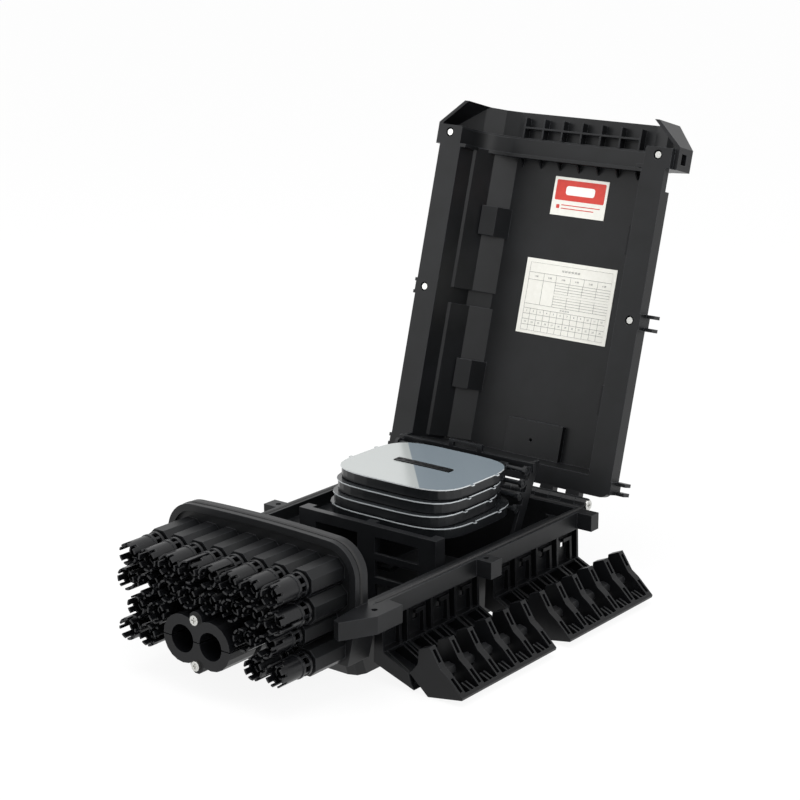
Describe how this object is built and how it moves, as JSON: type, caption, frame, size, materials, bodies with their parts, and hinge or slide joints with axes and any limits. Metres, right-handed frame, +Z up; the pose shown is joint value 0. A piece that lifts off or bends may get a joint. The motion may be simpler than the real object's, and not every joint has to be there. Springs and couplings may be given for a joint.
{
  "type": "fibre distribution box",
  "caption": "Black outdoor fibre distribution box, open: ported front wall with cable clamps, hinged lid, side latches and a leaning stack of splice trays",
  "frame": {"origin": "on the floor under the middle of the base, in the plane of its back face", "axes": "+X to the right seen from the ports, +Y from the ports to the lid hinge, +Z up out of the base"},
  "size_m": [0.3292, 0.5173, 0.385],
  "materials": {
    "black_plastic": "fine moulded sheen",
    "tray_plastic": "satin",
    "cover_plastic": "glossy, smoke tinted",
    "seal_rubber": "soft matt",
    "pin_steel": "turned",
    "screw_steel": "bright plated",
    "label_paper": "printed film"
  },
  "bodies": {
    "base": {"base_shell": "black_plastic", "rim_seal": "seal_rubber", "arch_seal": "seal_rubber", "hinge_pin": "pin_steel", "hinge_screws": "screw_steel", "drop_clamps_row_a": "black_plastic", "drop_clamps_row_b": "black_plastic", "drop_clamps_row_c": "black_plastic", "drop_clamps_row_d": "black_plastic", "port_seals": "seal_rubber", "cable_clamp_upper": "black_plastic", "cable_clamp_lower": "black_plastic", "clamp_screws": "screw_steel", "cable_seal": "seal_rubber", "link_pin_front_right": "pin_steel", "link_pin_rear_right": "pin_steel", "link_pin_front_left": "pin_steel", "link_pin_rear_left": "pin_steel", "tray_rack": "black_plastic", "holder_frame": "black_plastic"},
    "lid": {"lid_shell": "black_plastic", "lid_screws": "screw_steel", "chart_label": "label_paper", "small_label": "label_paper"},
    "link_front_right": {"latch_link_front_right": "black_plastic"},
    "lever_front_right": {"latch_lever_front_right": "black_plastic"},
    "link_rear_right": {"latch_link_rear_right": "black_plastic"},
    "lever_rear_right": {"latch_lever_rear_right": "black_plastic"},
    "link_front_left": {"latch_link_front_left": "black_plastic"},
    "lever_front_left": {"latch_lever_front_left": "black_plastic"},
    "link_rear_left": {"latch_link_rear_left": "black_plastic"},
    "lever_rear_left": {"latch_lever_rear_left": "black_plastic"},
    "tray_1": {"splice_tray_1": "tray_plastic", "tray_cover_1": "cover_plastic"},
    "tray_2": {"splice_tray_2": "tray_plastic", "tray_cover_2": "cover_plastic"},
    "tray_3": {"splice_tray_3": "tray_plastic", "tray_cover_3": "cover_plastic"},
    "tray_4": {"splice_tray_4": "tray_plastic", "tray_cover_4": "cover_plastic"}
  },
  "joints": [
    {"name": "lid_hinge", "type": "hinge", "parent": "base", "child": "lid", "pos_m": [0, 0.1535, 0.072], "axis": [-1, 0, 0], "range_deg": [-105.5, 0]},
    {"name": "link_turn_front_right", "type": "hinge", "parent": "base", "child": "link_front_right", "pos_m": [0.087, 0, 0.055], "axis": [0, 1, 0], "range_deg": [-85, 0]},
    {"name": "link_turn_rear_right", "type": "hinge", "parent": "base", "child": "link_rear_right", "pos_m": [0.087, 0, 0.055], "axis": [0, 1, 0], "range_deg": [-85, 0]},
    {"name": "link_turn_front_left", "type": "hinge", "parent": "base", "child": "link_front_left", "pos_m": [-0.087, 0, 0.055], "axis": [0, -1, 0], "range_deg": [-85, 0]},
    {"name": "link_turn_rear_left", "type": "hinge", "parent": "base", "child": "link_rear_left", "pos_m": [-0.087, 0, 0.055], "axis": [0, -1, 0], "range_deg": [-85, 0]},
    {"name": "lever_turn_front_right", "type": "hinge", "parent": "link_front_right", "child": "lever_front_right", "pos_m": [0.1381, 0, 0.0176], "axis": [0, 1, 0], "range_deg": [-15, 0]},
    {"name": "lever_turn_rear_right", "type": "hinge", "parent": "link_rear_right", "child": "lever_rear_right", "pos_m": [0.1381, 0, 0.0176], "axis": [0, 1, 0], "range_deg": [-15, 0]},
    {"name": "lever_turn_front_left", "type": "hinge", "parent": "link_front_left", "child": "lever_front_left", "pos_m": [-0.1381, 0, 0.0176], "axis": [0, -1, 0], "range_deg": [-15, 0]},
    {"name": "lever_turn_rear_left", "type": "hinge", "parent": "link_rear_left", "child": "lever_rear_left", "pos_m": [-0.1381, 0, 0.0176], "axis": [0, -1, 0], "range_deg": [-15, 0]},
    {"name": "tray_1_tilt", "type": "hinge", "parent": "base", "child": "tray_1", "pos_m": [0, 0.0928, 0.0781], "axis": [-1, 0, 0], "range_deg": [0, 55]},
    {"name": "tray_2_tilt", "type": "hinge", "parent": "base", "child": "tray_2", "pos_m": [0, 0.0977, 0.0879], "axis": [-1, 0, 0], "range_deg": [0, 55]},
    {"name": "tray_3_tilt", "type": "hinge", "parent": "base", "child": "tray_3", "pos_m": [0, 0.1026, 0.0977], "axis": [-1, 0, 0], "range_deg": [0, 55]},
    {"name": "tray_4_tilt", "type": "hinge", "parent": "base", "child": "tray_4", "pos_m": [0, 0.1075, 0.1075], "axis": [-1, 0, 0], "range_deg": [0, 55]}
  ],
  "couplings": [
    {"joint": "tray_2_tilt", "follows": "tray_1_tilt", "ratio": 1},
    {"joint": "tray_3_tilt", "follows": "tray_1_tilt", "ratio": 1},
    {"joint": "tray_4_tilt", "follows": "tray_1_tilt", "ratio": 1}
  ]
}
